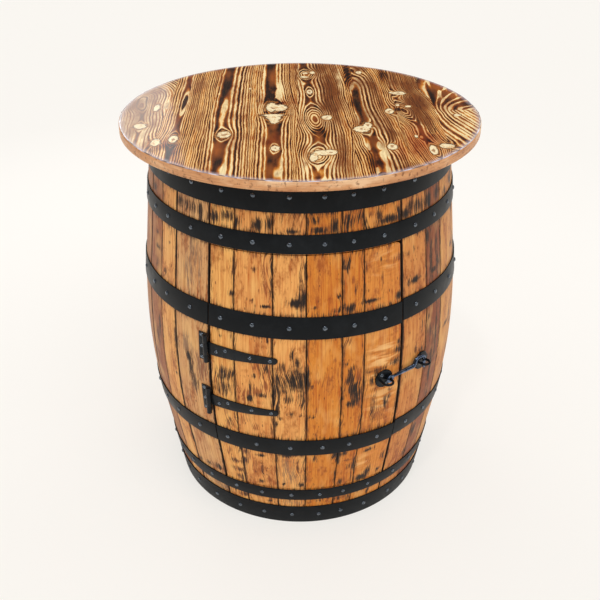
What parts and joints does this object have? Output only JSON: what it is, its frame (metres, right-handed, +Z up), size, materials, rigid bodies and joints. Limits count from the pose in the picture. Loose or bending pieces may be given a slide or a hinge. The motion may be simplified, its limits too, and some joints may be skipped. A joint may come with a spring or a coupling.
{
  "type": "barrel bar cabinet",
  "caption": "Standing barrel cabinet with a hinged stave door, a cabin hook latch, an inner shelf and a round overhanging board top.",
  "frame": {"origin": "on the barrel's axis at floor level", "axes": "+Z up, the door faces -Y, +X to the right seen from the door"},
  "size_m": [0.77, 0.77, 0.9],
  "materials": {
    "stave_oak": "planed oak staves, honey stain, scorched in places, satin lacquer",
    "head_oak": "plain sawn oak",
    "torched_pine": "torched and brushed pine under gloss lacquer",
    "inside_pine": "planed pine, oiled",
    "hoop_steel": "satin black paint on rolled steel strip",
    "nail_steel": "satin black over domed nail heads, rubbed bright on top",
    "hinge_black": "black powder coat",
    "black_screws": "black domed screws",
    "zinc_screws": "zinc plated",
    "blued_iron": "blue-black forged iron, waxed"
  },
  "bodies": {
    "cabinet": {"bottom_chime_hoop": "hoop_steel", "bottom_head": "head_oak", "bottom_quarter_hoop": "hoop_steel", "catch_staple_plate": "blued_iron", "door_stop": "inside_pine", "frame_hardware_screws": "black_screws", "frame_hoop_nails": "nail_steel", "frame_stave_01": "stave_oak", "frame_stave_02": "stave_oak", "frame_stave_03": "stave_oak", "frame_stave_04": "stave_oak", "frame_stave_05": "stave_oak", "frame_stave_06": "stave_oak", "frame_stave_07": "stave_oak", "frame_stave_08": "stave_oak", "frame_stave_09": "stave_oak", "frame_stave_10": "stave_oak", "frame_stave_11": "stave_oak", "frame_stave_12": "stave_oak", "frame_stave_13": "stave_oak", "frame_stave_14": "stave_oak", "frame_stave_15": "stave_oak", "frame_stave_16": "stave_oak", "frame_stave_17": "stave_oak", "frame_stave_18": "stave_oak", "frame_stave_19": "stave_oak", "frame_stave_20": "stave_oak", "frame_stave_21": "stave_oak", "frame_stave_22": "stave_oak", "frame_stave_23": "stave_oak", "hinge_pins": "hinge_black", "lower_bilge_hoop": "hoop_steel", "lower_hinge_leaf": "hinge_black", "lower_stub_staves": "stave_oak", "shelf": "inside_pine", "shelf_cleats": "inside_pine", "tabletop_boards": "torched_pine", "tabletop_cleats": "inside_pine", "tabletop_screws": "zinc_screws", "top_chime_hoop": "hoop_steel", "top_head": "head_oak", "top_quarter_hoop": "hoop_steel", "upper_bilge_hoop": "hoop_steel", "upper_hinge_leaf": "hinge_black", "upper_stub_staves": "stave_oak"},
    "door": {"door_hardware_screws": "black_screws", "door_hoop_nails": "nail_steel", "door_lower_bilge_hoop": "hoop_steel", "door_ribs": "inside_pine", "door_stave_01": "stave_oak", "door_stave_02": "stave_oak", "door_stave_03": "stave_oak", "door_stave_04": "stave_oak", "door_stave_05": "stave_oak", "door_stave_06": "stave_oak", "door_upper_bilge_hoop": "hoop_steel", "hook_staple_plate": "blued_iron", "lower_hinge_strap": "hinge_black", "upper_hinge_strap": "hinge_black"},
    "hook": {"hook": "blued_iron"}
  },
  "joints": [
    {"name": "door_hinge", "type": "hinge", "parent": "cabinet", "child": "door", "pos_m": [-0.19673, -0.30958, 0.428], "axis": [0, 0, -1], "range_deg": [0, 165]},
    {"name": "hook_pivot", "type": "hinge", "parent": "door", "child": "hook", "pos_m": [0.19103, -0.31793, 0.4235], "axis": [0.6278, -0.7784, 0], "range_deg": [0, 140]}
  ]
}
